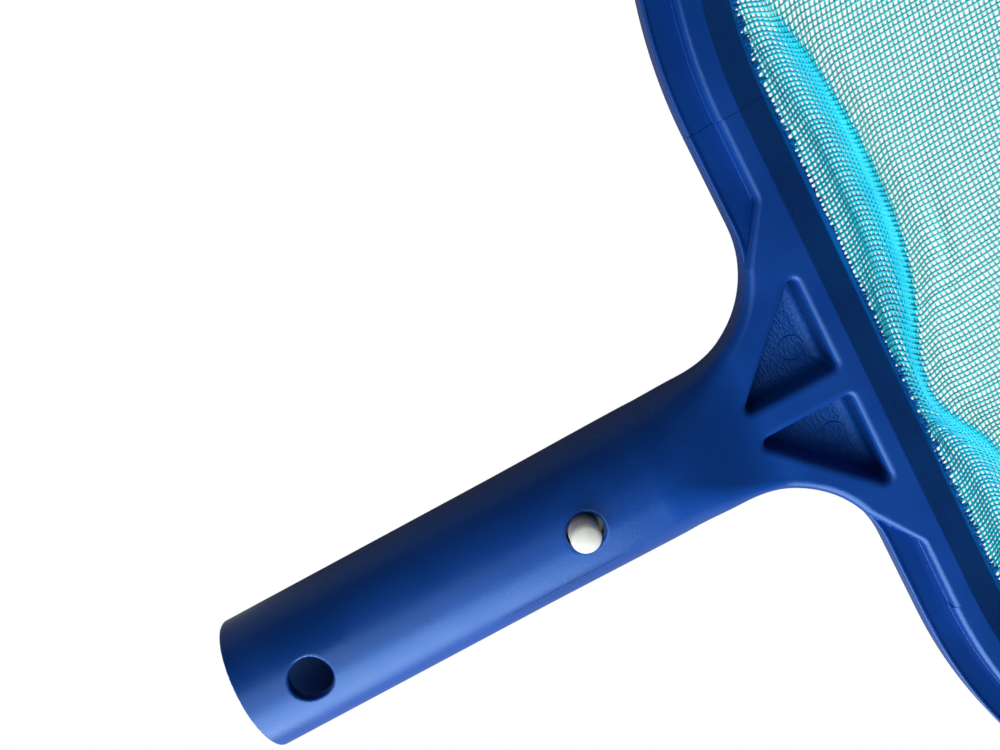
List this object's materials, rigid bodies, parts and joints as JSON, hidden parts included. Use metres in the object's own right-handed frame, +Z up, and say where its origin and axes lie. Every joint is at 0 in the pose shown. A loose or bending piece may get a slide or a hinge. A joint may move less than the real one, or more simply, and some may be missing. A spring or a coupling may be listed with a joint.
{
  "type": "leaf skimmer net",
  "caption": "Shallow hand skimmer head with a round handle socket, snap-button pole lock, flared neck with pockets, ribbed hoop and fine dished net.",
  "frame": {"origin": "centre of the handle tube's open end", "axes": "+X along the handle towards the net's front edge, +Z up through the upper snap button, +Y to the left when looking along +X"},
  "size_m": [0.4305, 0.3124, 0.038],
  "materials": {
    "frame_plastic": "satin moulded polypropylene",
    "band_plastic": "satin, with net fibres in it",
    "net": "fine woven net",
    "spring_steel": "satin",
    "button_plastic": "matte off-white"
  },
  "bodies": {
    "skimmer": {"handle_moulding": "frame_plastic", "hoop": "frame_plastic", "edge_band": "band_plastic", "net_mesh": "net", "clip_bend": "spring_steel"},
    "upper_button": {"button_top": "button_plastic", "clip_leg_top": "spring_steel"},
    "lower_button": {"button_bottom": "button_plastic", "clip_leg_bottom": "spring_steel"}
  },
  "joints": [
    {"name": "button_top_press", "type": "slide", "parent": "skimmer", "child": "upper_button", "axis": [0, 0, -1], "range_m": [0, 0.0043], "stiffness_N_per_m": 1500, "springref_m": -0.003, "deforming": ["clip_leg_top"]},
    {"name": "button_bottom_press", "type": "slide", "parent": "skimmer", "child": "lower_button", "axis": [0, 0, 1], "range_m": [0, 0.0043], "stiffness_N_per_m": 1500, "springref_m": -0.003, "deforming": ["clip_leg_bottom"]}
  ]
}
